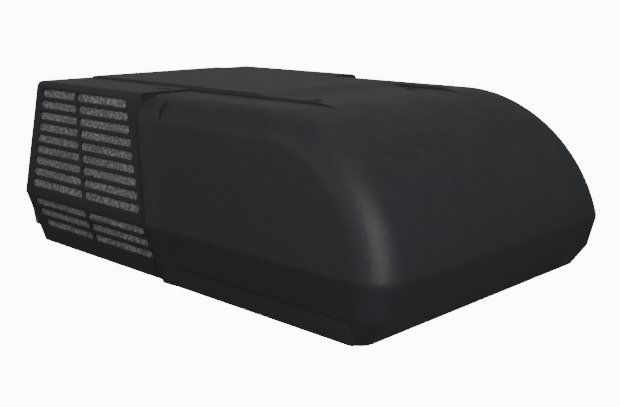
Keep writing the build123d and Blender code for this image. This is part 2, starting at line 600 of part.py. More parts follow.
# ---------------------------------------------------------------- motor, fan, blower
def make_motor():
    mid = (MOTOR_X0 + MOTOR_X1) / 2
    shell = rod(MOTOR_X0 + 14, MOTOR_X1 - 14, 0, AXIS_Z, MOTOR_R)
    shell -= rod(MOTOR_X0, MOTOR_X1, 0, AXIS_Z, MOTOR_R - 6)
    save("motor_shell", shell)
    core = rod(MOTOR_X0 + 20, MOTOR_X1 - 20, 0, AXIS_Z, MOTOR_R - 6) - rod(-200, 200, 0, AXIS_Z, 20)
    save("motor_core", core)
    bells, bearings = [], []
    for x, out in ((MOTOR_X0, 1), (MOTOR_X1, -1)):
        a, b = sorted((x, x + out * 14))
        bell = fillet(rod(a, b, 0, AXIS_Z, MOTOR_R).edges().filter_by(GeomType.CIRCLE)
                      .sort_by(Axis.X)[0 if out > 0 else -1], 10)
        c, d = sorted((x + out * 4, x + out * 15))
        bell -= rod(c, d, 0, AXIS_Z, MOTOR_R - 6)
        hub0, hub1 = sorted((x - out * 6, x + out * 12))
        bell += rod(hub0, hub1, 0, AXIS_Z, 16)
        bells.append(bell - rod(-200, 200, 0, AXIS_Z, 11))
        bearings.append(rod(hub0, hub1, 0, AXIS_Z, 11) - rod(-200, 200, 0, AXIS_Z, SHAFT_R + FIT_CLEAR))
    save("motor_end_bells", *bells)
    save("motor_bearings", *bearings)
    cradle = block(mid - 22, mid + 22, -85, 85, FLOOR_Z, FLOOR_Z + 2)
    top = AXIS_Z - 30
    cradle += cross_prism([(-62, FLOOR_Z), (62, FLOOR_Z), (50, top), (-50, top)], mid - 15, mid + 15)
    cradle -= cross_prism([(-59.5, FLOOR_Z + 2), (59.5, FLOOR_Z + 2), (47.5, top + 2), (-47.5, top + 2)],
                          mid - 16, mid + 16)
    cradle += block(mid - 15, mid + 15, -62, 62, AXIS_Z - 75, AXIS_Z - 55)
    cradle = cradle - rod(mid - 30, mid + 30, 0, AXIS_Z, MOTOR_R)
    save("motor_cradle", max(cradle.solids(), key=lambda s: s.volume))
    strap = rod(mid - 10, mid + 10, 0, AXIS_Z, MOTOR_R + 1.5) - rod(mid - 11, mid + 11, 0, AXIS_Z, MOTOR_R)
    strap -= block(mid - 20, mid + 20, -100, 100, 0, AXIS_Z - 27)
    save("motor_strap", strap)
    bolts = [hexagon(mid, s * 75, FLOOR_Z + 2, FLOOR_Z + 7, 10) for s in SIDES]
    save("motor_cradle_bolts", *bolts)


def make_rotor():
    shaft = rod(-166, 60, 0, AXIS_Z, SHAFT_R)
    save("motor_shaft", chamfer(shaft.edges().filter_by(GeomType.CIRCLE), 0.8))
    fan_x = -140.0
    blade = Pos(fan_x, 0, AXIS_Z + 75) * Rot(0, 0, 22) * Box(2.5, 84, 102)
    blades = [Pos(0, 0, AXIS_Z) * Rot(i * 72, 0, 0) * Pos(0, 0, -AXIS_Z) * blade for i in range(5)]
    fan = rod(fan_x - 16, fan_x + 16, 0, AXIS_Z, 32) + blades
    fan &= rod(-200, -100, 0, AXIS_Z, FAN_R)
    fan -= rod(-200, 0, 0, AXIS_Z, SHAFT_R)
    save("condenser_fan", fan)
    back, front = 48.0, 130.0
    wheel = rod(back, back + 2, 0, AXIS_Z, WHEEL_R) + rod(back - 14, back + 14, 0, AXIS_Z, 18)
    vane = Pos((back + front) / 2, 0, AXIS_Z + 86) * Rot(40, 0, 0) * Box(front - back, 1.6, 17)
    count = 32
    step = 360 / count
    wheel += [Pos(0, 0, AXIS_Z) * Rot(i * step, 0, 0) * Pos(0, 0, -AXIS_Z) * vane for i in range(count)]
    wheel += rod(front - 4, front, 0, AXIS_Z, WHEEL_R) - rod(front - 5, front + 1, 0, AXIS_Z, WHEEL_R - 17)
    wheel &= rod(back - 20, front, 0, AXIS_Z, WHEEL_R)
    wheel -= rod(0, 60, 0, AXIS_Z, SHAFT_R)
    save("blower_wheel", wheel)


def scroll_outline(inset):
    """Spiral growing from the cut-off round to a straight throat that drops to the pan."""
    def spiral(angle):
        r = 104 + 34 * (265 - angle) / 265 - inset
        return (r * cos(radians(angle)), AXIS_Z + r * sin(radians(angle)))
    curve = Spline(*[spiral(265 - 265 * i / 12) for i in range(13)])
    outer = Polyline(curve @ 1, ((curve @ 1).X, FLOOR_Z), (SUPPLY_Y[0] - 4 + inset, FLOOR_Z),
                     (SUPPLY_Y[0] - 4 + inset, AXIS_Z - 96 + inset), curve @ 0)
    return Plane.YZ * make_face([curve, outer])


SCROLL_X = (40.0, 142.0)


def make_scroll():
    body = Pos(SCROLL_X[0], 0, 0) * extrude(scroll_outline(0), amount=SCROLL_X[1] - SCROLL_X[0])
    hollow = Pos(SCROLL_X[0] + 2, 0, 0) * extrude(scroll_outline(2), amount=SCROLL_X[1] - SCROLL_X[0] - 4)
    body -= hollow
    body -= block(SCROLL_X[0] + 4, SCROLL_X[1] - 6, SUPPLY_Y[0], SUPPLY_Y[1] - 2, 0, 40)
    body -= rod(SCROLL_X[1] - 5, SCROLL_X[1] + 5, 0, AXIS_Z, 76)
    body -= rod(SCROLL_X[0] - 5, SCROLL_X[0] + 5, 0, AXIS_Z, 22)
    save("blower_scroll", body)
    ring = rod(SCROLL_X[1], SCROLL_X[1] + 2, 0, AXIS_Z, 92) + rod(SCROLL_X[1] - 8, SCROLL_X[1], 0, AXIS_Z, 76)
    save("blower_inlet_ring", ring - rod(100, 160, 0, AXIS_Z, 74))


# ---------------------------------------------------------------- evaporator side
CONDUIT_YZ = (SOCKET[1], FLOOR_Z + 34)
EVAP_X = (205.0, 250.0)
EVAP_HALF = 184.0
EVAP_Z = (32.0, 280.0)


def housing_outline(t):
    base = FLOOR_Z if t == 0 else FLOOR_Z - 1
    return [(HOUSING_X0 + t, base), (HOUSING_X1 - t, base), (HOUSING_X1 - t, 268 - t * 0.4),
            (325 - t * 0.4, HOUSING_TOP - t), (HOUSING_X0 + t, HOUSING_TOP - t)]


def make_evaporator():
    inner_half = HOUSING_HALF - SHEET
    cover = side_prism(housing_outline(0), -HOUSING_HALF, HOUSING_HALF)
    cover -= side_prism(housing_outline(SHEET), -inner_half, inner_half)
    cover -= rod(0, 30, 0, AXIS_Z, 22)
    for (y, z), r in ((SUCTION_YZ, LINE_R), (LIQUID_YZ, LIQUID_R), (CONDUIT_YZ, LEAD_R)):
        cover -= rod(0, 30, y, z, r + GROMMET)
    for side in SIDES:
        y0, y1 = sorted((side * HOUSING_HALF, side * (HOUSING_HALF + 16)))
        cover += block(HOUSING_X0 + 10, HOUSING_X1 - 10, y0, y1, FLOOR_Z, FLOOR_Z + SHEET)
    save("evaporator_housing", cover)
    screws = [post(x, s * (HOUSING_HALF + 8), FLOOR_Z + SHEET, FLOOR_Z + SHEET + 4, 4)
              for x in (60, 200, 340) for s in SIDES]
    save("housing_screws", *screws)
    foam = side_prism([(60, HOUSING_TOP - SHEET), (320, HOUSING_TOP - SHEET), (320, HOUSING_TOP - 10),
                       (60, HOUSING_TOP - 10)], -180, 180)
    save("housing_foam", foam)
    save("evaporator_coil", block(*EVAP_X, -EVAP_HALF, EVAP_HALF, *EVAP_Z))
    plates = [block(EVAP_X[0] - 2, EVAP_X[1] + 2, *sorted((s * EVAP_HALF, s * (EVAP_HALF + 1.5))),
                    EVAP_Z[0], EVAP_Z[1] + 2) for s in SIDES]
    save("evaporator_end_plates", *plates)
    bends = []
    for s in SIDES:
        for i in range(7):
            z = 50 + i * 24
            loop = Pos(EVAP_X[0] + 12, s * (EVAP_HALF + 1.5), z) * Rot(0, 90, 0) * Torus(9, 4)
            bends.append(loop & block(150, 300, *sorted((s * (EVAP_HALF + 1.5), s * 220)), 0, 400))
    save("evaporator_bends", *bends)
    tray = block(EVAP_X[0] - 8, EVAP_X[1] + 8, -200, 200, FLOOR_Z, EVAP_Z[0])
    tray -= block(EVAP_X[0] - 5, EVAP_X[1] + 5, -197, 197, FLOOR_Z + 6, EVAP_Z[0] + 1)
    for x in (EVAP_X[0] + 4, EVAP_X[1] - 4):
        tray += block(x - 3, x + 3, -197, 197, FLOOR_Z + 3, EVAP_Z[0])
    save("drain_tray", tray)


# ---------------------------------------------------------------- electrical
BOX_X = (-97.0, 8.0)
BOX_Y = (118.0, 250.0)
BOX_TOP = 130.0
MOTOR_LEAD_X = -54.0


def make_electrical():
    box = block(*BOX_X, *BOX_Y, FLOOR_Z, BOX_TOP)
    box -= block(BOX_X[0] + PAN_T, BOX_X[1] - PAN_T, BOX_Y[0] + PAN_T, BOX_Y[1] - PAN_T, FLOOR_Z + PAN_T, 200)
    box -= rod(BOX_X[0] - 5, BOX_X[0] + 5, *LEAD_YZ, LEAD_R)
    box -= rod(BOX_X[1] - 5, BOX_X[1] + 5, *CONDUIT_YZ, LEAD_R)
    save("electrical_box", box)
    cover = block(BOX_X[0] - 2, BOX_X[1] + 2, BOX_Y[0] - 2, BOX_Y[1] + 2, BOX_TOP - 12, BOX_TOP + PAN_T)
    cover -= block(*BOX_X, *BOX_Y, 0, BOX_TOP)
    cover -= post(MOTOR_LEAD_X, 160, BOX_TOP - 5, BOX_TOP + 5, LEAD_R)
    save("electrical_cover", cover)
    floor = FLOOR_Z + PAN_T
    caps = [fillet(post(-70 + i * 50, 218, floor, floor + h, 20).edges().group_by(Axis.Z)[-1], 2)
            for i, h in enumerate((90, 70))]
    save("capacitors", *caps)
    strap = block(-92, 4, 238, BOX_Y[1] - PAN_T, floor + 30, floor + 42)
    save("capacitor_strap", strap)
    board = block(-88, -10, 128, 175, floor + 6, floor + 8)
    board += block(-80, -50, 135, 160, floor + 8, floor + 28)
    board += block(-40, -18, 135, 168, floor + 8, floor + 22)
    for x in (-84, -14):
        board += block(x - 4, x + 4, 132, 171, floor, floor + 6)
    save("relay_board", board)
    conduit = pipe(LEAD_R, 18, (SOCKET[0], SOCKET[1], FLOOR_Z + 14), (SOCKET[0], *CONDUIT_YZ),
                   (BOX_X[1] - PAN_T, *CONDUIT_YZ))
    save("supply_conduit", conduit)
    y, z = LEAD_YZ
    lead = pipe(LEAD_R, 30, (COMP_X, COMP_Y + COMP_R + 18, 170), (COMP_X, y, 170), (COMP_X, y, z),
                (BOX_X[0] + PAN_T, y, z))
    save("compressor_lead", lead)
    motor = pipe(LEAD_R, 18, (MOTOR_LEAD_X, MOTOR_R - 8, AXIS_Z + 20), (MOTOR_LEAD_X, 160, AXIS_Z + 20),
                 (MOTOR_LEAD_X, 160, BOX_TOP))
    save("motor_lead", motor - rod(-200, 100, 0, AXIS_Z, MOTOR_R))


save("shroud", make_shroud())
make_louvre_screen()
make_shroud_fixings()
make_brackets()
make_base()
make_condenser()
make_lines(make_compressor())
make_motor()
make_rotor()
make_scroll()
make_evaporator()
make_electrical()
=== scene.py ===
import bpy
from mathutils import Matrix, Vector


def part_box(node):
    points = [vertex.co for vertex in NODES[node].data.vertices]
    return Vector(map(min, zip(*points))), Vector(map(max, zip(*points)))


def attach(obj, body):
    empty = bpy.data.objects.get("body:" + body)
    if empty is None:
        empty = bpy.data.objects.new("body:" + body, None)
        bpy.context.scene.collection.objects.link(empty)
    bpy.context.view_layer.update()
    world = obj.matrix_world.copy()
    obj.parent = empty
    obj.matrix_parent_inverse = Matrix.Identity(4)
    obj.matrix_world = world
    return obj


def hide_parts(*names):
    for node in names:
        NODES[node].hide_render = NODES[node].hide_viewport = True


bl_info = {
    "name": "Rooftop Air Conditioner",
    "version": (1, 0, 0),
    "blender": (4, 5, 0),
    "location": "View3D > Sidebar > Rooftop AC",
    "description": "Dresses the frame of a caravan rooftop air conditioner with finished pieces",
    "category": "Object",
}

from math import cos, pi, radians, sin

import bmesh
import bpy
from bpy.props import FloatProperty, FloatVectorProperty, IntProperty, PointerProperty
from mathutils import Matrix, Vector

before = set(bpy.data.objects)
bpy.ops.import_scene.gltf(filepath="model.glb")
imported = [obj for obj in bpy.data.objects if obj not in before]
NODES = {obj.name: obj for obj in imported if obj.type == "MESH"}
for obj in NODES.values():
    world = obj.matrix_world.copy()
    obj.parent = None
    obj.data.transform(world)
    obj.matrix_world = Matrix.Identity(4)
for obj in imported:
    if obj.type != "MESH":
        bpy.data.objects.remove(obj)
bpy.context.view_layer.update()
AXIS_Z = 0.180


# ------------------------------------------------------------------ settings
def colour_prop(name, description, default):
    return FloatVectorProperty(name=name, description=description, default=default,
                               subtype="COLOR", size=3, min=0.0, max=1.0)


def length_prop(name, description, default):
    return FloatProperty(name=name, description=description, default=default, unit="LENGTH", min=0.0)


class RAC_ShroudSettings(bpy.types.PropertyGroup):
    colour: colour_prop("Shroud colour", "Colour of the moulded shroud", (0.0142, 0.0147, 0.0172))
    grain: length_prop("Grain size", "Distance between pebbles of the moulded grain", 0.0017)
    edge: length_prop("Edge softness", "Radius of the moulded edges", 0.0026)


class RAC_ScreenSettings(bpy.types.PropertyGroup):
    pitch: length_prop("Mesh pitch", "Distance from wire to wire of the mesh", 0.0026)
    wire: length_prop("Wire size", "Thickness of the mesh wire", 0.0015)
    colour: colour_prop("Mesh colour", "Colour of the mesh and its lattice", (0.07, 0.07, 0.076))


class RAC_CoilSettings(bpy.types.PropertyGroup):
    pitch: length_prop("Fin pitch", "Distance from fin to fin", 0.0021)
    thickness: length_prop("Fin thickness", "Thickness of one fin", 0.0003)
    tube_radius: length_prop("Tube radius", "Outer radius of the coil tubes", 0.0048)
    rows: IntProperty(name="Tube rows", description="Rows of tubes up the coil", default=12, min=1)
    colour: colour_prop("Fin colour", "Colour of the fins", (0.50, 0.51, 0.53))


class RAC_FanSettings(bpy.types.PropertyGroup):
    blades: IntProperty(name="Blades", description="Blades of the condenser fan", default=5, min=2)
    vanes: IntProperty(name="Vanes", description="Vanes of the blower wheel", default=36, min=8)
    colour: colour_prop("Fan colour", "Colour of the moulded fan", (0.020, 0.020, 0.021))


class RAC_StageSettings(bpy.types.PropertyGroup):
    floor_colour: colour_prop("Floor colour", "Colour of the plain floor", (0.22, 0.22, 0.22))
    glow: FloatProperty(name="Sweep brightness",
                        description="How bright the white sweep looks behind the piece",
                        default=12.0, min=0.0)
    ambient: FloatProperty(name="Ambient light", description="Strength of the even light from all round",
                           default=0.38, min=0.0)
    lens: FloatProperty(name="Lens", description="Focal length of the camera in millimetres",
                        default=53.44, min=10.0)


# ------------------------------------------------------------------ finishes
class Finish:
    """A finish built up in layers on object coordinates."""

    def __init__(self, name, colour, roughness, metallic=0.0, soft_edge=0.0, **sockets):
        self.mat = bpy.data.materials.new(name)
        self.mat.use_nodes = True
        self.nodes = self.mat.node_tree.nodes
        self.links = self.mat.node_tree.links
        self.shader = self.nodes["Principled BSDF"]
        self.shader.inputs["Base Color"].default_value = (*colour, 1.0)
        self.shader.inputs["Roughness"].default_value = roughness
        self.shader.inputs["Metallic"].default_value = metallic
        for key, value in sockets.items():
            self.shader.inputs[key.replace("_", " ")].default_value = value
        self.coord = self.nodes.new("ShaderNodeTexCoord").outputs["Object"]
        self.colour = None
        self.flat_colour = (*colour, 1.0)
        self.normal = None
        if soft_edge:
            bevel = self.nodes.new("ShaderNodeBevel")
            bevel.samples = 6
            bevel.inputs["Radius"].default_value = soft_edge
            self.normal = bevel.outputs["Normal"]
            self.links.new(self.normal, self.shader.inputs["Normal"])

    def stretched(self, stretch):
        mapping = self.nodes.new("ShaderNodeMapping")
        mapping.inputs["Scale"].default_value = stretch
        self.links.new(self.coord, mapping.inputs["Vector"])
        return mapping.outputs["Vector"]

    def noise(self, scale, detail=3.0, stretch=None):
        node = self.nodes.new("ShaderNodeTexNoise")
        node.inputs["Scale"].default_value = scale
        node.inputs["Detail"].default_value = detail
        self.links.new(self.stretched(stretch) if stretch else self.coord, node.inputs["Vector"])
        return node.outputs["Fac"]

    def cells(self, scale, feature="F1", output="Distance", stretch=None):
        node = self.nodes.new("ShaderNodeTexVoronoi")
        node.feature = feature
        node.inputs["Scale"].default_value = scale
        self.links.new(self.stretched(stretch) if stretch else self.coord, node.inputs["Vector"])
        return node.outputs[output]

    def waves(self, scale, direction="Z", distortion=0.0):
        node = self.nodes.new("ShaderNodeTexWave")
        node.bands_direction = direction
        node.inputs["Scale"].default_value = scale
        node.inputs["Distortion"].default_value = distortion
        self.links.new(self.coord, node.inputs["Vector"])
        return node.outputs["Fac"]

    def span(self, value, low, high, to_low=0.0, to_high=1.0):
        node = self.nodes.new("ShaderNodeMapRange")
        for key, number in zip(("From Min", "From Max", "To Min", "To Max"), (low, high, to_low, to_high)):
            node.inputs[key].default_value = number
        self.links.new(value, node.inputs["Value"])
        return node.outputs["Result"]

    def product(self, a, b):
        node = self.nodes.new("ShaderNodeMath")
        node.operation = "MULTIPLY"
        self.links.new(a, node.inputs[0])
        self.links.new(b, node.inputs[1])
        return node.outputs["Value"]

    def facing_up(self, low=0.3, high=0.95):
        geometry = self.nodes.new("ShaderNodeNewGeometry")
        split = self.nodes.new("ShaderNodeSeparateXYZ")
        self.links.new(geometry.outputs["Normal"], split.inputs["Vector"])
        return self.span(split.outputs["Z"], low, high)

    def tint(self, amount, colour):
        node = self.nodes.new("ShaderNodeMix")
        node.data_type = "RGBA"
        self.links.new(amount, node.inputs["Factor"])
        if self.colour is None:
            node.inputs["A"].default_value = self.flat_colour
        else:
            self.links.new(self.colour, node.inputs["A"])
        node.inputs["B"].default_value = (*colour, 1.0)
        self.colour = node.outputs["Result"]
        self.links.new(self.colour, self.shader.inputs["Base Color"])
        return self

    def rough(self, value, low, high, smooth, dull):
        self.links.new(self.span(value, low, high, smooth, dull), self.shader.inputs["Roughness"])
        return self

    def bump(self, height, strength, depth):
        node = self.nodes.new("ShaderNodeBump")
        node.inputs["Strength"].default_value = strength
        node.inputs["Distance"].default_value = depth
        self.links.new(height, node.inputs["Height"])
        if self.normal is not None:
            self.links.new(self.normal, node.inputs["Normal"])
        self.normal = node.outputs["Normal"]
        self.links.new(self.normal, self.shader.inputs["Normal"])
        return self


def shroud_plastic(settings):
    """Black moulded plastic with a pebble grain and a little dust on top."""
    finish = Finish("black_grained_plastic", settings.colour, 0.5, soft_edge=settings.edge,
                    Specular_IOR_Level=0.20)
    pebble = finish.cells(1.0 / settings.grain, "SMOOTH_F1")
    mottle = finish.noise(6.0, 4.0)
    finish.tint(finish.span(mottle, 0.35, 0.7, 0.0, 0.4), [c * 1.2 for c in settings.colour])
    dust = finish.product(finish.facing_up(), finish.span(finish.noise(26.0, 5.0), 0.42, 0.75, 0.0, 0.08))
    finish.tint(dust, (0.085, 0.083, 0.078))
    finish.tint(finish.span(pebble, 0.15, 0.75, 0.0, 0.30), [c * 0.55 for c in settings.colour])
    finish.rough(finish.noise(14.0, 4.0), 0.3, 0.7, 0.50, 0.56)
    finish.bump(pebble, 0.55, 0.00035)
    finish.bump(finish.noise(2600.0, 2.0), 0.12, 0.0001)
    return finish.mat


def mesh_wire(settings):
    """Grey coated wire with lint and dust caught in patches."""
    finish = Finish("mesh_wire", settings.colour, 0.6, 0.3)
    lint = finish.noise(210.0, 3.0)
    finish.tint(finish.span(lint, 0.45, 0.65, 0.0, 0.7), (0.30, 0.30, 0.30))
    finish.tint(finish.span(finish.noise(12.0, 4.0), 0.4, 0.7, 0.0, 0.4), (0.07, 0.07, 0.07))
    finish.rough(lint, 0.3, 0.7, 0.5, 0.75)
    finish.bump(finish.noise(900.0, 2.0), 0.2, 0.0002)
    return finish.mat


def zinc_sheet():
    """Zinc-coated sheet: crystals of slightly different brightness, light handling marks."""
    finish = Finish("zinc_sheet", (0.56, 0.57, 0.58), 0.4, 0.92, soft_edge=0.0008)
    crystals = finish.cells(95.0, output="Color")
    grey = finish.nodes.new("ShaderNodeSeparateColor")
    finish.links.new(crystals, grey.inputs["Color"])
    finish.tint(finish.span(grey.outputs["Red"], 0.0, 1.0, 0.0, 0.55), (0.40, 0.41, 0.43))
    stain = finish.noise(9.0, 5.0)
    finish.tint(finish.span(stain, 0.55, 0.8, 0.0, 0.35), (0.33, 0.33, 0.32))
    finish.rough(grey.outputs["Green"], 0.0, 1.0, 0.30, 0.52)
    finish.bump(finish.noise(40.0, 3.0), 0.05, 0.0006)
    return finish.mat


def fin_metal(settings):
    """Thin aluminium fins, dulled, with a little dust caught on them."""
    finish = Finish("fin_aluminium", settings.colour, 0.42, 0.85)
    dirt = finish.noise(18.0, 5.0)
    finish.tint(finish.span(dirt, 0.45, 0.75, 0.0, 0.45), (0.21, 0.20, 0.19))
    finish.rough(dirt, 0.3, 0.7, 0.34, 0.6)
    finish.bump(finish.waves(130.0, "Z"), 0.25, 0.0004)
    return finish.mat


def copper_tube():
    finish = Finish("copper_tube", (0.72, 0.38, 0.24), 0.26, 1.0)
    tarnish = finish.noise(22.0, 5.0)
    finish.tint(finish.span(tarnish, 0.42, 0.72, 0.0, 0.75), (0.34, 0.17, 0.11))
    finish.tint(finish.span(finish.noise(60.0, 4.0), 0.6, 0.8, 0.0, 0.4), (0.15, 0.10, 0.08))
    finish.rough(tarnish, 0.35, 0.7, 0.2, 0.46)
    finish.bump(finish.noise(220.0, 2.0), 0.06, 0.0002)
    return finish.mat


def braze():
    """Silver braze run over the copper, rippled and stained by the flame."""
    finish = Finish("braze", (0.62, 0.52, 0.38), 0.34, 1.0)
    stain = finish.noise(160.0, 4.0)
    finish.tint(finish.span(stain, 0.4, 0.7, 0.0, 0.8), (0.20, 0.14, 0.10))
    finish.rough(stain, 0.3, 0.7, 0.25, 0.55)
    finish.bump(finish.noise(420.0, 2.0), 0.3, 0.0004)
    return finish.mat


def enamel(name, colour, roughness):
    """Baked enamel with orange peel and settled dust."""
    finish = Finish(name, colour, roughness, soft_edge=0.0015, Coat_Weight=0.35, Coat_Roughness=0.12)
    dust = finish.product(finish.facing_up(), finish.span(finish.noise(30.0, 5.0), 0.4, 0.7, 0.0, 0.28))
    finish.tint(dust, (0.16, 0.15, 0.14))
    finish.rough(finish.noise(12.0, 4.0), 0.3, 0.7, roughness - 0.08, roughness + 0.12)
    finish.bump(finish.noise(320.0, 2.0), 0.10, 0.0003)
    return finish.mat


def bright_steel():
    finish = Finish("bright_steel", (0.66, 0.65, 0.62), 0.24, 1.0, soft_edge=0.0004)
    marks = finish.noise(70.0, 4.0)
    finish.tint(finish.span(marks, 0.5, 0.75, 0.0, 0.4), (0.45, 0.43, 0.38))
    finish.rough(marks, 0.3, 0.7, 0.18, 0.38)
    finish.bump(finish.noise(700.0, 2.0, (1, 1, 0.2)), 0.05, 0.0001)
    return finish.mat


def moulded(name, colour, roughness, grain=900.0):
    """Moulded plastic with a fine sparked surface."""
    finish = Finish(name, colour, roughness, soft_edge=0.0008, Specular_IOR_Level=0.45)
    mottle = finish.noise(16.0, 4.0)
    finish.tint(finish.span(mottle, 0.4, 0.7, 0.0, 0.45), [min(1.0, c * 1.4) for c in colour])
    finish.rough(finish.noise(24.0, 3.0), 0.3, 0.7, roughness - 0.06, roughness + 0.08)
    finish.bump(finish.noise(grain, 3.0), 0.16, 0.0002)
    return finish.mat


def corrugated(name, colour):
    """Split corrugated sleeve: close ribs across the run, lighter along their crests."""
    finish = Finish(name, colour, 0.4, Specular_IOR_Level=0.45)
    ribs = finish.waves(115.0, "DIAGONAL")
    # the colour is lighter on every rib crest, following the same waves as the bump
    finish.tint(finish.span(ribs, 0.55, 1.0, 0.0, 0.5), [c * 2.2 for c in colour])
    finish.rough(finish.noise(40.0, 3.0), 0.3, 0.7, 0.34, 0.5)
    finish.bump(ribs, 0.8, 0.0012)
    return finish.mat


def foam(name, colour):
    """Closed-cell foam: small open bubbles in a dull skin, with painted shade darkening the bubble pits."""
    finish = Finish(name, colour, 0.92, Specular_IOR_Level=0.2)
    bubbles = finish.cells(520.0)
    # painted shade: the colour goes darker at the middle of each bubble, where the bump makes a pit
    finish.tint(finish.span(bubbles, 0.1, 0.6, 0.55, 0.0), [c * 0.4 for c in colour])
    finish.bump(bubbles, 0.7, 0.0006)
    finish.bump(finish.noise(60.0, 4.0), 0.2, 0.0015)
    return finish.mat


def rubber():
    finish = Finish("black_rubber", (0.018, 0.018, 0.018), 0.62, soft_edge=0.0008)
    finish.tint(finish.span(finish.noise(45.0, 4.0), 0.45, 0.75, 0.0, 0.5), (0.05, 0.048, 0.045))
    finish.rough(finish.noise(30.0, 3.0), 0.3, 0.7, 0.52, 0.74)
    finish.bump(finish.noise(1100.0, 2.0), 0.15, 0.0001)
    return finish.mat


def wound_core():
    """Lacquered copper windings between dark steel laminations."""
    finish = Finish("wound_core", (0.30, 0.12, 0.05), 0.35, 0.6, Coat_Weight=0.5)
    layers = finish.waves(160.0, "X")
    finish.tint(finish.span(layers, 0.3, 0.7, 0.0, 0.6), (0.08, 0.045, 0.03))
    finish.bump(layers, 0.4, 0.0005)
    return finish.mat


def bright_can():
    finish = Finish("drawn_can", (0.70, 0.70, 0.71), 0.3, 1.0)
    finish.rough(finish.noise(300.0, 2.0, (1, 1, 0.05)), 0.3, 0.7, 0.22, 0.42)
    finish.bump(finish.noise(600.0, 2.0, (1, 1, 0.03)), 0.06, 0.0001)
    return finish.mat


class Palette:
    """Every finish, made once."""

    def __init__(self, scene):
        shroud = scene.rac_shroud
        self.shroud = shroud_plastic(shroud)
        self.mesh = mesh_wire(scene.rac_screen)
        self.zinc = zinc_sheet()
        self.fins = fin_metal(scene.rac_coil)
        self.copper = copper_tube()
        self.braze = braze()
        self.black_enamel = enamel("black_enamel", (0.012, 0.012, 0.013), 0.24)
        self.grey_enamel = enamel("grey_enamel", (0.10, 0.105, 0.11), 0.36)
        self.steel = bright_steel()
        self.fan = moulded("fan_plastic", tuple(scene.rac_fan.colour), 0.42)
        self.wheel = moulded("wheel_plastic", (0.055, 0.056, 0.060), 0.5)
        self.white = moulded("white_plastic", (0.68, 0.68, 0.65), 0.45)
        self.sleeve = corrugated("sleeve_plastic", (0.022, 0.022, 0.024))
        self.foam = foam("black_foam", (0.028, 0.028, 0.030))
        self.pale_foam = foam("grey_foam", (0.12, 0.12, 0.125))
        self.rubber = rubber()
        self.core = wound_core()
        self.can = bright_can()


PALETTE = {}


def palette():
    if "set" not in PALETTE:
        PALETTE["set"] = Palette(bpy.context.scene)
    return PALETTE["set"]


# ------------------------------------------------------------------ making pieces
def add_piece(bm, name, body, material, replaces=(), sharp=35.0, recalc=True):
    """Turns a finished bmesh into a piece that rides on a body."""
    if recalc:
        bmesh.ops.recalc_face_normals(bm, faces=bm.faces)
    mesh = bpy.data.meshes.new(name)
    bm.to_mesh(mesh)
    bm.free()
    mesh.shade_smooth()
    mesh.set_sharp_from_angle(angle=radians(sharp))
    obj = bpy.data.objects.new(name, mesh)
    bpy.context.scene.collection.objects.link(obj)
    mesh.materials.append(material)
    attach(obj, body)
    if replaces:
        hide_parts(*replaces)
    return obj


def repaint(material, *names):
    for name in names:
        mesh = NODES[name].data
        mesh.materials.clear()
        mesh.materials.append(material)


def merged_copy(name):
    bm = bmesh.new()
    bm.from_mesh(NODES[name].data)
    bmesh.ops.remove_doubles(bm, verts=bm.verts, dist=1e-5)
    return bm


def move(bm, verts, offset):
    bmesh.ops.translate(bm, verts=verts, vec=offset)


def turn(bm, verts, angle, axis, centre=(0, 0, 0)):
    bmesh.ops.rotate(bm, verts=verts, cent=centre, matrix=Matrix.Rotation(radians(angle), 3, axis))


def add_box(bm, x0, x1, y0, y1, z0, z1):
    verts = bmesh.ops.create_cube(bm, size=1.0)["verts"]
    bmesh.ops.scale(bm, verts=verts, vec=(x1 - x0, y1 - y0, z1 - z0))
    move(bm, verts, ((x0 + x1) / 2, (y0 + y1) / 2, (z0 + z1) / 2))
    return verts


def add_disc(bm, r1, r2, length, segments=48, axis="Z", at=(0, 0, 0)):
    """Cylinder or cone of that length starting at a point and running along an axis."""
    verts = bmesh.ops.create_cone(bm, cap_ends=True, segments=segments, radius1=r1, radius2=r2,
                                  depth=length)["verts"]
    move(bm, verts, (0, 0, length / 2))
    if axis == "X":
        turn(bm, verts, 90, "Y")
    if axis == "Y":
        turn(bm, verts, -90, "X")
    move(bm, verts, at)
    return verts


def add_turned(bm, outline, segments=64, axis="Z", at=(0, 0, 0)):
    """Solid of revolution from (radius, height) pairs; a pair with radius 0 closes the end."""
    verts = [bm.verts.new((r, 0, h)) for r, h in outline]
    edges = [bm.edges.new(pair) for pair in zip(verts, verts[1:])]
    bmesh.ops.spin(bm, geom=verts + edges, cent=(0, 0, 0), axis=(0, 0, 1), angle=2 * pi,
                   steps=segments, use_merge=True)
    ring = linked_verts(verts[0])
    bmesh.ops.remove_doubles(bm, verts=ring, dist=1e-6)
    ring = linked_verts(next(v for v in ring if v.is_valid))
    if axis == "X":
        turn(bm, ring, 90, "Y")
    if axis == "Y":
        turn(bm, ring, -90, "X")
    move(bm, ring, at)
    return ring


def add_bar(bm, start, end, width, depth=None):
    """Square or flat bar from one point to another."""
    start, end = Vector(start), Vector(end)
    run = end - start
    verts = bmesh.ops.create_cube(bm, size=1.0)["verts"]
    bmesh.ops.scale(bm, verts=verts, vec=(width, depth or width, run.length))
    matrix = run.to_track_quat("Z", "Y").to_matrix()
    bmesh.ops.rotate(bm, verts=verts, cent=(0, 0, 0), matrix=matrix)
    move(bm, verts, (start + end) / 2)
    return verts


def add_sheet(bm, columns, rows, thickness, shape):
    """Thin curved sheet: a grid bent by a function of (u, v), then given its thickness."""
    verts = bmesh.ops.create_grid(bm, x_segments=columns, y_segments=rows, size=0.5)["verts"]
    for vert in verts:
        vert.co = shape(vert.co.x + 0.5, vert.co.y + 0.5)
    faces = list({f for v in verts for f in v.link_faces})
    bmesh.ops.solidify(bm, geom=faces, thickness=thickness)
    return linked_verts(verts[0])


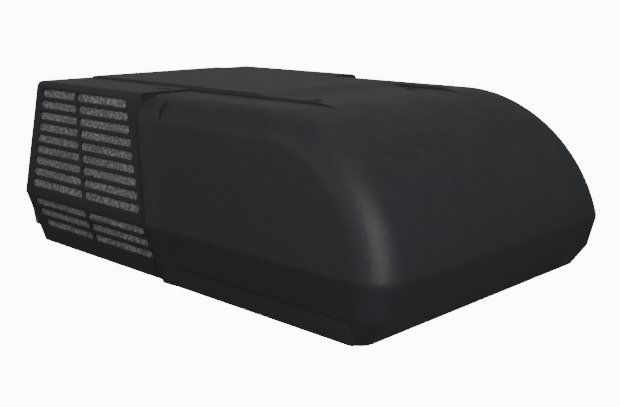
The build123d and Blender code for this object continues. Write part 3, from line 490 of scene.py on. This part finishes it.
def linked_verts(start):
    """Every vertex joined to one by edges."""
    found, stack = {start}, [start]
    while stack:
        for edge in stack.pop().link_edges:
            for vert in edge.verts:
                if vert not in found:
                    found.add(vert)
                    stack.append(vert)
    return list(found)


def repeat(bm, verts, steps):
    """Copies the shape made of these vertices, giving each copy to a placing function in turn."""
    faces = list({f for v in verts for f in v.link_faces})
    for place in steps:
        copy = bmesh.ops.duplicate(bm, geom=faces)["geom"]
        place([g for g in copy if isinstance(g, bmesh.types.BMVert)])


# ------------------------------------------------------------------ shroud
class RAC_OT_shroud(bpy.types.Operator):
    """Gives the moulded shroud its grain and soft edges"""
    bl_idname = "rac.shroud"
    bl_label = "Shroud"

    def execute(self, context):
        obj = add_piece(merged_copy("shroud"), "shroud_moulding", "shroud_body", palette().shroud,
                        ("shroud",), 24.0, recalc=False)
        flat = obj.modifiers.new("flat_faces_stay_flat", "WEIGHTED_NORMAL")
        flat.keep_sharp = True
        flat.weight = 60
        return {"FINISHED"}


# ------------------------------------------------------------------ mesh behind the slots
SCREEN_LOW, SCREEN_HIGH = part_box("louvre_screen")
BELT_Z, SCREEN_Z0, SCREEN_Z1 = 0.122, SCREEN_LOW[2] + 0.001, SCREEN_HIGH[2] - 0.001
WALL_Y, WALL_X = SCREEN_HIGH[1] - 0.0006, SCREEN_LOW[0] + 0.0006
SCREEN_REAR_X, SLOT_END_X = -0.496, -0.077
SIDE_RUN, REAR_RUN, REAR_HALF = 0.420, 0.600, 0.300
SIDE_DRAFT, SIDE_TUCK, REAR_LEAN, REAR_TUCK = 0.15, 0.1415, 0.075, 0.434
END_SLOPE = 0.36
CORNER_GAP = 0.006


def side_wall(z):
    """Half width of the mesh inside the grille's side walls at a height."""
    if z > BELT_Z:
        return WALL_Y - SIDE_DRAFT * (z - BELT_Z)
    return WALL_Y - SIDE_TUCK * (BELT_Z - z)


def rear_wall(z):
    """Position of the mesh inside the grille's rear wall at a height."""
    if z > BELT_Z:
        return WALL_X + REAR_LEAN * (z - BELT_Z)
    return WALL_X + REAR_TUCK * (BELT_Z - z)


class RAC_OT_screen(bpy.types.Operator):
    """Lays the crossed wires of the fine mesh on the lattice behind the slots"""
    bl_idname = "rac.screen"
    bl_label = "Louvre mesh"

    def execute(self, context):
        screen = context.scene.rac_screen
        bm = bmesh.new()
        heights = ((SCREEN_Z0, BELT_Z), (BELT_Z, SCREEN_Z1))
        for side in (-1, 1):
            for i in range(int(SIDE_RUN / screen.pitch)):
                x = SCREEN_REAR_X + i * screen.pitch
                for z0, z1 in heights:
                    z1 = min(z1, BELT_Z + (SLOT_END_X - x) / END_SLOPE)
                    if z1 > z0:
                        add_bar(bm, (x, side * side_wall(z0), z0), (x, side * side_wall(z1), z1), screen.wire)
        for i in range(int(REAR_RUN / screen.pitch)):
            y = -REAR_HALF + i * screen.pitch
            for z0, z1 in heights:
                add_bar(bm, (rear_wall(z0), y, z0), (rear_wall(z1), y, z1), screen.wire)
        for i in range(int((SCREEN_Z1 - SCREEN_Z0) / screen.pitch)):
            z = SCREEN_Z0 + i * screen.pitch
            front = min(SLOT_END_X, SLOT_END_X - END_SLOPE * (z - BELT_Z))
            for side in (-1, 1):
                y = side * side_wall(z)
                add_bar(bm, (rear_wall(z) + CORNER_GAP, y, z), (front, y, z), screen.wire)
            reach = side_wall(z) - CORNER_GAP
            add_bar(bm, (rear_wall(z), -reach, z), (rear_wall(z), reach, z), screen.wire)
        add_piece(bm, "louvre_mesh", "shroud_body", palette().mesh, recalc=False)
        return {"FINISHED"}


# ------------------------------------------------------------------ coils
COIL_LOW, COIL_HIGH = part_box("condenser_coil")
COIL_X0, COIL_X1, COIL_HALF = COIL_LOW[0], COIL_HIGH[0], COIL_HIGH[1]
COIL_Z = (COIL_LOW[2], COIL_HIGH[2])
COIL_DEPTH, COIL_R = 0.040, 0.070
TUBE_ROWS = ((0.011, 0.3), (0.029, 0.7))


class RAC_OT_condenser_coil(bpy.types.Operator):
    """Stacks the condenser's fins around its U and threads the tubes through them"""
    bl_idname = "rac.condenser_coil"
    bl_label = "Condenser coil"

    def execute(self, context):
        coil = context.scene.rac_coil
        bm = bmesh.new()
        z0, z1 = COIL_Z
        corner = Vector((COIL_X0 + COIL_R, COIL_HALF - COIL_R, 0))
        leg = COIL_X1 - corner.x
        count = int(leg / coil.pitch)
        for side in (-1, 1):
            y0, y1 = sorted((side * COIL_HALF, side * (COIL_HALF - COIL_DEPTH)))
            fin = add_box(bm, corner.x, corner.x + coil.thickness, y0, y1, z0, z1)
            repeat(bm, fin, [lambda v, i=i: move(bm, v, (i * coil.pitch, 0, 0)) for i in range(1, count)])
            bend = int(COIL_R * 0.72 * pi / 2 / coil.pitch)
            centre = (corner.x, side * corner.y, 0)
            repeat(bm, fin, [lambda v, i=i: turn(bm, v, side * 90 * i / bend, "Z", centre)
                             for i in range(1, bend)])
        width = 2 * corner.y
        count = int(width / coil.pitch)
        fin = add_box(bm, COIL_X0, COIL_X0 + COIL_DEPTH, -corner.y, -corner.y + coil.thickness, z0, z1)
        repeat(bm, fin, [lambda v, i=i: move(bm, v, (0, i * coil.pitch, 0)) for i in range(1, count)])
        add_piece(bm, "condenser_fins", "unit", palette().fins, ("condenser_coil",))
        self.tubes(coil, corner)
        return {"FINISHED"}

    def tubes(self, coil, corner):
        bm = bmesh.new()
        rise = (COIL_Z[1] - COIL_Z[0]) / coil.rows
        for depth, offset in TUBE_ROWS:
            for row in range(coil.rows):
                z = COIL_Z[0] + rise * (row + offset)
                u_tube(bm, coil.tube_radius, z, depth, corner)
        add_piece(bm, "condenser_tubes", "unit", palette().copper, recalc=True)


def u_tube(bm, radius, z, depth, corner):
    """One tube round the coil: along a leg, round a corner, across the back and out again."""
    y = COIL_HALF - depth
    made = bmesh.ops.create_circle(bm, cap_ends=False, segments=10, radius=radius)["verts"]
    turn(bm, made, 90, "Y")
    move(bm, made, (COIL_X1, -y, z))
    edges = list({e for v in made for e in v.link_edges})
    edges = pull(bm, edges, (corner.x - COIL_X1, 0, 0))
    edges = swing(bm, edges, (corner.x, -corner.y, z), -90)
    edges = pull(bm, edges, (0, 2 * corner.y, 0))
    edges = swing(bm, edges, (corner.x, corner.y, z), -90)
    pull(bm, edges, (COIL_X1 - corner.x, 0, 0))


def pull(bm, edges, offset):
    """Extrudes a ring of edges along a straight run and returns the far ring."""
    made = bmesh.ops.extrude_edge_only(bm, edges=edges)["geom"]
    move(bm, [g for g in made if isinstance(g, bmesh.types.BMVert)], offset)
    return [g for g in made if isinstance(g, bmesh.types.BMEdge)]


def swing(bm, edges, centre, angle, steps=8):
    """Spins a ring of edges round a bend and returns the far ring."""
    made = bmesh.ops.spin(bm, geom=edges, cent=centre, axis=(0, 0, 1), angle=radians(angle), steps=steps)
    return [g for g in made["geom_last"] if isinstance(g, bmesh.types.BMEdge)]


EVAP_LOW, EVAP_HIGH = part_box("evaporator_coil")
EVAP_X, EVAP_HALF, EVAP_Z = (EVAP_LOW[0], EVAP_HIGH[0]), EVAP_HIGH[1], (EVAP_LOW[2], EVAP_HIGH[2])
EVAP_ROWS, EVAP_TUBE_INSET = 10, 0.011


class RAC_OT_evaporator_coil(bpy.types.Operator):
    """Stacks the evaporator's fins and tubes"""
    bl_idname = "rac.evaporator_coil"
    bl_label = "Evaporator coil"

    def execute(self, context):
        coil = context.scene.rac_coil
        bm = bmesh.new()
        count = int(2 * EVAP_HALF / coil.pitch)
        fin = add_box(bm, *EVAP_X, -EVAP_HALF, -EVAP_HALF + coil.thickness, *EVAP_Z)
        repeat(bm, fin, [lambda v, i=i: move(bm, v, (0, i * coil.pitch, 0)) for i in range(1, count)])
        add_piece(bm, "evaporator_fins", "unit", palette().fins, ("evaporator_coil",))
        bm = bmesh.new()
        for x in (EVAP_X[0] + EVAP_TUBE_INSET, EVAP_X[1] - EVAP_TUBE_INSET):
            for row in range(EVAP_ROWS):
                z = EVAP_Z[0] + (EVAP_Z[1] - EVAP_Z[0]) * (row + 0.5) / EVAP_ROWS
                add_disc(bm, coil.tube_radius, coil.tube_radius, 2 * EVAP_HALF, 12, "Y", (x, -EVAP_HALF, z))
        add_piece(bm, "evaporator_tubes", "unit", palette().copper)
        return {"FINISHED"}


# ------------------------------------------------------------------ fan and blower
FAN_X, FAN_R, FAN_HUB = -0.140, 0.1245, 0.032
WHEEL_X0, WHEEL_X1, WHEEL_R = 0.048, 0.130, 0.095
SHAFT_R = 0.00635
BLADE_ROOT, BLADE_LIFT = 0.029, 0.0145
VANE_R0, VANE_DEPTH = 0.0785, 0.0155


class RAC_OT_fan(bpy.types.Operator):
    """Moulds the condenser fan with swept, twisted blades and a ribbed hub"""
    bl_idname = "rac.fan"
    bl_label = "Condenser fan"

    def execute(self, context):
        fan = context.scene.rac_fan
        bm = bmesh.new()

        def blade(u, v):
            r = BLADE_ROOT + (FAN_R - BLADE_ROOT) * u
            chord = 0.050 + 0.058 * u
            pitch = radians(58 - 30 * u)
            along = (v - 0.5) * chord
            camber = 0.006 * (1 - (2 * v - 1) ** 2)
            sweep = 0.35 * u * u
            rise = min(max(along * cos(pitch) * 0.5 - camber, -BLADE_LIFT), BLADE_LIFT)
            angle = sweep + along * sin(pitch) / max(r, 0.04)
            return Vector((rise, r * sin(angle), r * cos(angle)))

        for i in range(fan.blades):
            made = add_sheet(bm, 12, 10, 0.0022, blade)
            turn(bm, made, 360 * i / fan.blades, "X")
            move(bm, made, (FAN_X, 0, AXIS_Z))
        hub = [(SHAFT_R, 0.001), (0.012, 0.0), (0.013, 0.006), (0.024, 0.007), (0.0305, 0.011),
               (FAN_HUB, 0.016), (FAN_HUB, 0.032), (0.029, 0.032), (0.029, 0.018), (0.014, 0.016),
               (0.013, 0.031), (SHAFT_R, 0.031), (SHAFT_R, 0.001)]
        add_turned(bm, hub, 56, "X", (FAN_X - 0.016, 0, AXIS_Z))
        for i in range(10):
            rib = add_box(bm, FAN_X, FAN_X + 0.014, -0.0008, 0.0008, 0.0125, 0.0300)
            turn(bm, rib, 36 * i, "X")
            move(bm, rib, (0, 0, AXIS_Z))
        add_piece(bm, "fan_moulding", "rotor", palette().fan, ("condenser_fan",))
        return {"FINISHED"}


class RAC_OT_blower(bpy.types.Operator):
    """Moulds the blower wheel with curved vanes between a back plate and a rim"""
    bl_idname = "rac.blower"
    bl_label = "Blower wheel"

    def execute(self, context):
        bm = bmesh.new()
        vanes = context.scene.rac_fan.vanes

        def vane(u, v):
            r = VANE_R0 + VANE_DEPTH * u
            angle = 0.13 * (1 - u) ** 2 + 0.05 * sin(pi * u)
            return Vector((WHEEL_X0 + 0.001 + (WHEEL_X1 - WHEEL_X0 - 0.002) * v,
                           r * sin(angle), r * cos(angle)))

        for i in range(vanes):
            made = add_sheet(bm, 6, 2, 0.0009, vane)
            turn(bm, made, 360 * i / vanes, "X")
            move(bm, made, (0, 0, AXIS_Z))
        plate = [(SHAFT_R, -0.014), (0.0175, -0.014), (0.018, 0.0), (0.060, 0.0), (0.064, 0.0),
                 (WHEEL_R, 0.0), (WHEEL_R, 0.002), (0.064, 0.002), (0.018, 0.002), (0.0175, 0.014),
                 (SHAFT_R, 0.014), (SHAFT_R, -0.014)]
        add_turned(bm, plate, 64, "X", (WHEEL_X0, 0, AXIS_Z))
        for depth in (WHEEL_X1 - 0.004, WHEEL_X1 - 0.030):
            rim = [(0.0780, 0), (WHEEL_R, 0), (WHEEL_R, 0.004), (0.0780, 0.004), (0.0780, 0)]
            add_turned(bm, rim, 64, "X", (depth, 0, AXIS_Z))
        add_piece(bm, "wheel_moulding", "rotor", palette().wheel, ("blower_wheel",))
        return {"FINISHED"}


# ------------------------------------------------------------------ small parts
SCREW_RADIUS, SCREW_HEAD, SCREW_ACROSS, SCREW_CORNER = 0.00295, 0.0049, 0.0098, 0.005774
SHEET_SCREW = (0.0060, 0.0032, 0.0042)
SUCTION_R, LIQUID_R, COLLAR_REACH = 0.006, 0.004, 0.006
CAN_R = 0.020
COVER_INSET = 0.009
HOUSING_SCREWS_X, HOUSING_SCREWS_Y = (0.045, 0.110, 0.175, 0.240, 0.305), 0.205
HOUSING_HALF = 0.215
TIES_X, LEAD_Y, LEAD_R = (-0.250, -0.160), 0.190, 0.004


def add_bolt(bm, x, y, z, across, height, flange):
    """Hexagon head on a pressed flange, standing on z."""
    add_turned(bm, [(0, 0), (flange, 0), (flange, 0.0006), (across * 0.55, 0.0015), (0, 0.0015)], 28,
               at=(x, y, z))
    head = add_disc(bm, across / 2 / cos(pi / 6), across / 2 / cos(pi / 6), height - 0.0013, 6,
                    at=(x, y, z + 0.0013))
    top = [v for v in head if v.co.z > z + height - 0.0001]
    rim = [e for e in {e for v in top for e in v.link_edges} if all(v in top for v in e.verts)]
    bmesh.ops.bevel(bm, geom=rim, offset=0.0005, segments=2, affect="EDGES")
    add_disc(bm, across * 0.28, across * 0.28, 0.0004, 20, at=(x, y, z + height - 0.0003))


def add_collar(bm, x, y, z, radius, axis):
    """Brazed collar: a short swelling round a tube."""
    outline = [(radius - 0.0008, -0.006), (radius + 0.0004, -0.0055), (radius + 0.0016, -0.003),
               (radius + 0.0018, 0.0), (radius + 0.0012, 0.004), (radius - 0.0008, 0.006)]
    add_turned(bm, outline, 24, axis, (x, y, z))


def add_blade(bm, x, y, z):
    """Flat blade terminal standing on z."""
    add_box(bm, x - 0.0032, x + 0.0032, y - 0.0004, y + 0.0004, z, z + 0.008)


class RAC_OT_screws(bpy.types.Operator):
    """Replaces the plain screw heads by flanged hexagon heads"""
    bl_idname = "rac.screws"
    bl_label = "Screws"

    def execute(self, context):
        bm = bmesh.new()
        low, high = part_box("shroud_screws")
        seat = high[2] - 0.005
        for x in (low[0] + SCREW_CORNER, high[0] - SCREW_CORNER):
            half = centre_half("shroud_screws", x)
            for y in (-half, half):
                add_bolt(bm, x, y, seat, SCREW_ACROSS, SCREW_HEAD, 0.0068)
                add_disc(bm, SCREW_RADIUS, SCREW_RADIUS, seat - low[2], 20, at=(x, y, low[2]))
        add_piece(bm, "flange_screws", "shroud_body", palette().steel, ("shroud_screws",))
        return {"FINISHED"}


def centre_half(name, x):
    """Distance from the middle plane of the piece of a node that stands over x."""
    near = [v.co.y for v in NODES[name].data.vertices if abs(v.co.x - x) < 0.02 and v.co.y > 0]
    return (min(near) + max(near)) / 2


class RAC_OT_fittings(bpy.types.Operator):
    """Adds brazed collars, capacitor terminals, sheet screws, cable ties and cover details"""
    bl_idname = "rac.fittings"
    bl_label = "Fittings"

    def execute(self, context):
        p = palette()
        self.collars(p)
        self.terminals(p)
        self.plates(p)
        self.ties(p)
        self.cover_details(p)
        return {"FINISHED"}

    def collars(self, p):
        bm = bmesh.new()
        low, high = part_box("accumulator")
        x, y = (low[0] + high[0]) / 2, (low[1] + high[1]) / 2
        add_collar(bm, x, y, high[2] + COLLAR_REACH, SUCTION_R, "Z")
        low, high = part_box("filter_drier")
        y, z = (low[1] + high[1]) / 2, (low[2] + high[2]) / 2
        for x in (low[0] - COLLAR_REACH, high[0] + COLLAR_REACH):
            add_collar(bm, x, y, z, LIQUID_R, "X")
        add_piece(bm, "brazed_collars", "unit", p.braze)

    def terminals(self, p):
        bm = bmesh.new()
        low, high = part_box("capacitors")
        verts = NODES["capacitors"].data.vertices
        for x in (low[0] + CAN_R, high[0] - CAN_R):
            top = max(v.co.z for v in verts if abs(v.co.x - x) < CAN_R + 0.001)
            y = (low[1] + high[1]) / 2
            add_disc(bm, 0.0165, 0.0155, 0.0012, 32, at=(x, y, top - 0.0002))
            for dx, dy in ((-0.007, 0.004), (0.007, 0.004), (0.0, -0.008)):
                add_blade(bm, x + dx, y + dy, top)
        add_piece(bm, "capacitor_terminals", "unit", p.steel)

    def cover_details(self, p):
        """Pressed ribs and a blank plate on the evaporator cover."""
        bm = bmesh.new()
        for i in range(5):
            x = 0.060 + i * 0.030
            for side in (-1, 1):
                y = side * (HOUSING_HALF - 0.0002)
                add_bar(bm, (x, y, 0.235), (x, y, 0.285), 0.005, 0.0030)
        bmesh.ops.bevel(bm, geom=[e for e in bm.edges if abs(e.verts[0].co.z - e.verts[1].co.z) > 0.01],
                        offset=0.0012, segments=3, affect="EDGES")
        add_piece(bm, "pressed_ribs", "unit", p.zinc)
        bm = bmesh.new()
        add_box(bm, 0.250, 0.330, -HOUSING_HALF - 0.0006, -HOUSING_HALF, 0.150, 0.200)
        corners = [e for e in bm.edges if abs(e.verts[0].co.y - e.verts[1].co.y) > 0.0003]
        bmesh.ops.bevel(bm, geom=corners, offset=0.004, segments=4, affect="EDGES")
        add_piece(bm, "blank_plate", "unit", p.can)

    def plates(self, p):
        bm = bmesh.new()
        low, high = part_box("electrical_cover")
        for x in (low[0] + COVER_INSET, high[0] - COVER_INSET):
            for y in (low[1] + COVER_INSET, high[1] - COVER_INSET):
                add_bolt(bm, x, y, high[2], *SHEET_SCREW)
        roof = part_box("evaporator_housing")[1][2]
        for x in HOUSING_SCREWS_X:
            for y in (-HOUSING_SCREWS_Y, HOUSING_SCREWS_Y):
                add_bolt(bm, x, y, roof, *SHEET_SCREW)
        add_piece(bm, "sheet_screws", "unit", p.steel)

    def ties(self, p):
        bm = bmesh.new()
        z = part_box("compressor_lead")[0][2] + LEAD_R
        for x in TIES_X:
            band = [(0.0040, -0.0020), (0.0048, -0.0020), (0.0048, 0.0020), (0.0040, 0.0020),
                    (0.0040, -0.0020)]
            add_turned(bm, band, 20, "X", (x, LEAD_Y, z))
            add_box(bm, x - 0.003, x + 0.003, LEAD_Y + 0.0035, LEAD_Y + 0.009, z - 0.0025, z + 0.0025)
        add_piece(bm, "cable_ties", "unit", p.white)


# ------------------------------------------------------------------ carried-over nodes
class RAC_OT_finishes(bpy.types.Operator):
    """Gives every carried-over node its finish"""
    bl_idname = "rac.finishes"
    bl_label = "Finishes"

    def execute(self, context):
        p = palette()
        repaint(p.zinc, "rear_shroud_brackets", "front_shroud_brackets", "base_pan", "condenser_end_plates",
                "fan_bulkhead", "motor_cradle", "motor_strap", "evaporator_housing",
                "evaporator_end_plates", "electrical_box", "electrical_cover", "capacitor_strap")
        repaint(p.steel, "shroud_washers", "clip_nuts", "roof_weld_nuts", "bulkhead_screws",
                "compressor_studs", "motor_bearings", "motor_cradle_bolts", "motor_shaft", "housing_screws")
        repaint(p.mesh, "louvre_screen")
        repaint(p.foam, "roof_gasket", "rear_support_pads", "bulkhead_seal")
        repaint(p.pale_foam, "housing_foam")
        repaint(p.rubber, "compressor_grommets", "line_grommets")
        repaint(p.black_enamel, "compressor", "compressor_foot_plate", "accumulator")
        repaint(p.grey_enamel, "motor_shell", "motor_end_bells")
        repaint(p.core, "motor_core")
        repaint(p.copper, "suction_line", "discharge_line", "filter_drier", "liquid_line", "evaporator_bends")
        repaint(p.fan, "fan_ring", "blower_inlet_ring")
        repaint(p.wheel, "power_socket", "terminal_cover", "blower_scroll")
        repaint(p.white, "drain_tray", "relay_board")
        repaint(p.can, "capacitors")
        repaint(p.sleeve, "supply_conduit", "compressor_lead", "motor_lead")
        return {"FINISHED"}


# ------------------------------------------------------------------ stage
CAMERA_PLACE, CAMERA_AIM = (1.3287, -1.3323, 0.5415), (-0.012, 0.048, 0.107)


class RAC_OT_stage(bpy.types.Operator):
    """Sets the plain floor, the soft lights and the camera"""
    bl_idname = "rac.stage"
    bl_label = "Stage"

    def execute(self, context):
        stage = context.scene.rac_stage
        self.floor(stage)
        self.world(context, stage)
        self.lights(context)
        self.camera(context, stage)
        return {"FINISHED"}

    def floor(self, stage):
        bm = bmesh.new()
        bmesh.ops.create_grid(bm, x_segments=1, y_segments=1, size=30.0)
        mesh = bpy.data.meshes.new("floor")
        bm.to_mesh(mesh)
        bm.free()
        floor = bpy.data.objects.new("floor", mesh)
        bpy.context.scene.collection.objects.link(floor)
        finish = Finish("pale_floor", stage.floor_colour, 0.9, Specular_IOR_Level=0.1,
                        Emission_Color=(1.0, 1.0, 1.0, 1.0))
        seen = finish.nodes.new("ShaderNodeLightPath").outputs["Is Camera Ray"]
        finish.links.new(finish.span(seen, 0.0, 1.0, 0.0, stage.glow),
                         finish.shader.inputs["Emission Strength"])
        mesh.materials.append(finish.mat)

    def world(self, context, stage):
        world = bpy.data.worlds.new("studio")
        world.use_nodes = True
        background = world.node_tree.nodes["Background"]
        background.inputs["Color"].default_value = (1.0, 1.0, 1.0, 1.0)
        seen = world.node_tree.nodes.new("ShaderNodeLightPath").outputs["Is Camera Ray"]
        strength = world.node_tree.nodes.new("ShaderNodeMapRange")
        strength.inputs["To Min"].default_value = stage.ambient
        strength.inputs["To Max"].default_value = stage.glow + 1.0
        world.node_tree.links.new(seen, strength.inputs["Value"])
        world.node_tree.links.new(strength.outputs["Result"], background.inputs["Strength"])
        context.scene.world = world

    def lights(self, context):
        self.area(context, "key", (2.2, -1.5, 1.5), (0.25, -0.1, 0.15), 2.0, 100)
        self.area(context, "fill", (-1.2, -2.6, 1.3), (0, 0, 0.15), 2.2, 20)
        self.area(context, "top", (-0.2, 0.6, 3.2), (0, 0, 0.2), 2.6, 3)

    def area(self, context, name, place, aim, size, watts):
        light = bpy.data.lights.new(name, "AREA")
        light.shape = "DISK"
        light.size = size
        light.energy = watts
        obj = bpy.data.objects.new(name, light)
        obj.location = place
        obj.rotation_euler = (Vector(aim) - Vector(place)).to_track_quat("-Z", "Y").to_euler()
        context.scene.collection.objects.link(obj)

    def camera(self, context, stage):
        data = bpy.data.cameras.new("camera")
        data.lens = stage.lens
        data.sensor_width = 36.0
        data.clip_end = 100.0
        obj = bpy.data.objects.new("camera", data)
        obj.location = CAMERA_PLACE
        obj.rotation_euler = (Vector(CAMERA_AIM) - obj.location).to_track_quat("-Z", "Y").to_euler()
        context.scene.collection.objects.link(obj)
        context.scene.camera = obj


# ------------------------------------------------------------------ add-on
class RAC_PT_panel(bpy.types.Panel):
    """Lists the pieces of the air conditioner"""
    bl_idname = "RAC_PT_panel"
    bl_label = "Rooftop Air Conditioner"
    bl_space_type = "VIEW_3D"
    bl_region_type = "UI"
    bl_category = "Rooftop AC"

    def draw(self, context):
        layout = self.layout
        for name in SETTINGS:
            group = getattr(context.scene, name)
            box = layout.box()
            for key in group.__annotations__:
                box.prop(group, key)
        for operator in OPERATORS:
            layout.operator(operator.bl_idname)


SETTINGS = {"rac_shroud": RAC_ShroudSettings, "rac_screen": RAC_ScreenSettings, "rac_coil": RAC_CoilSettings,
            "rac_fan": RAC_FanSettings, "rac_stage": RAC_StageSettings}
OPERATORS = [RAC_OT_shroud, RAC_OT_screen, RAC_OT_condenser_coil, RAC_OT_evaporator_coil, RAC_OT_fan,
             RAC_OT_blower, RAC_OT_screws, RAC_OT_fittings, RAC_OT_finishes, RAC_OT_stage]


def register():
    for name, group in SETTINGS.items():
        bpy.utils.register_class(group)
        setattr(bpy.types.Scene, name, PointerProperty(type=group))
    for cls in OPERATORS + [RAC_PT_panel]:
        bpy.utils.register_class(cls)


def unregister():
    for cls in reversed(OPERATORS + [RAC_PT_panel]):
        bpy.utils.unregister_class(cls)
    for name, group in reversed(SETTINGS.items()):
        delattr(bpy.types.Scene, name)
        bpy.utils.unregister_class(group)


def main():
    register()
    for operator in OPERATORS:
        family, name = operator.bl_idname.split(".")
        getattr(getattr(bpy.ops, family), name)()


if __name__ == "__main__":
    main()
